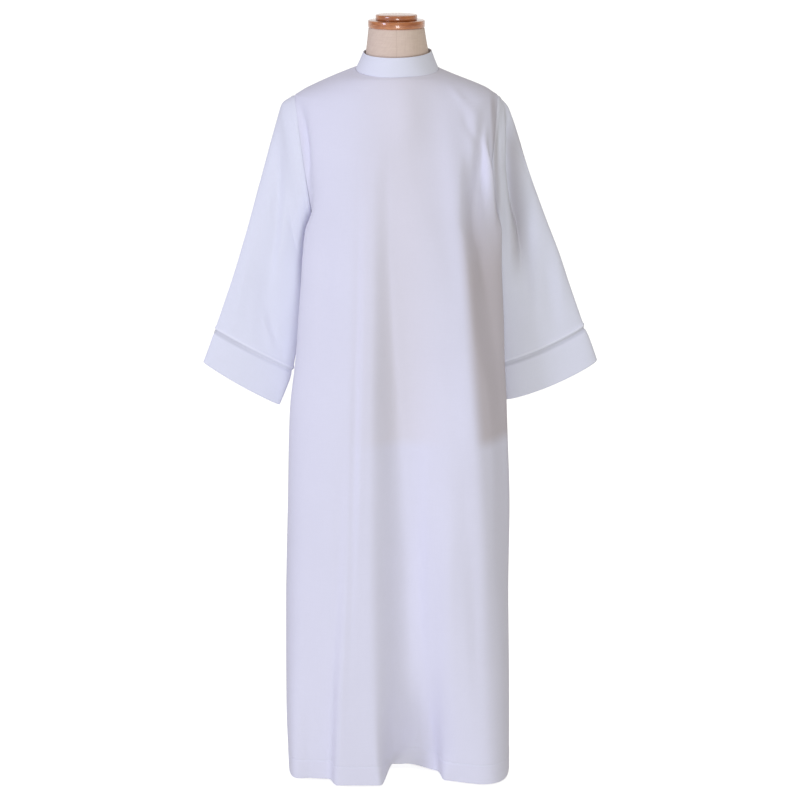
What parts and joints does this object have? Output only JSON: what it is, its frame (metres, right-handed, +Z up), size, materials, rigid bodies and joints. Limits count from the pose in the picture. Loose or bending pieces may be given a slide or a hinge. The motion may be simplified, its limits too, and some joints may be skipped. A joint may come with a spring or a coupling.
{
  "type": "alb robe on a limbless dress form",
  "caption": "Long white alb with stand collar and wide cuffed sleeves, worn on a linen dress form with a turned-wood neck cap and a pole on a round base.",
  "frame": {"origin": "centre of the base plate's underside, on the floor, on the dress form's axis", "axes": "+Z up along the pole, the alb's front faces -Y, +X is to the right as seen from the front"},
  "size_m": [0.8119, 0.4444, 1.5596],
  "materials": {
    "alb_cloth": "smooth matt white polyester-cotton cloth, slightly cool, with a fine plain weave and a faint translucency",
    "linen": "plain-woven beige linen stretched over the form",
    "varnished_wood": "turned wood with an orange-brown gloss varnish",
    "steel": "satin brushed steel"
  },
  "bodies": {
    "root": {"alb_front": "alb_cloth", "alb_back_left": "alb_cloth", "alb_back_right": "alb_cloth", "sleeve_left": "alb_cloth", "sleeve_right": "alb_cloth", "cuff_left": "alb_cloth", "cuff_right": "alb_cloth", "collar": "alb_cloth", "form_torso": "linen", "cap_lower": "varnished_wood", "cap_upper": "varnished_wood", "stand_pole": "steel", "stand_base": "steel"}
  },
  "joints": []
}
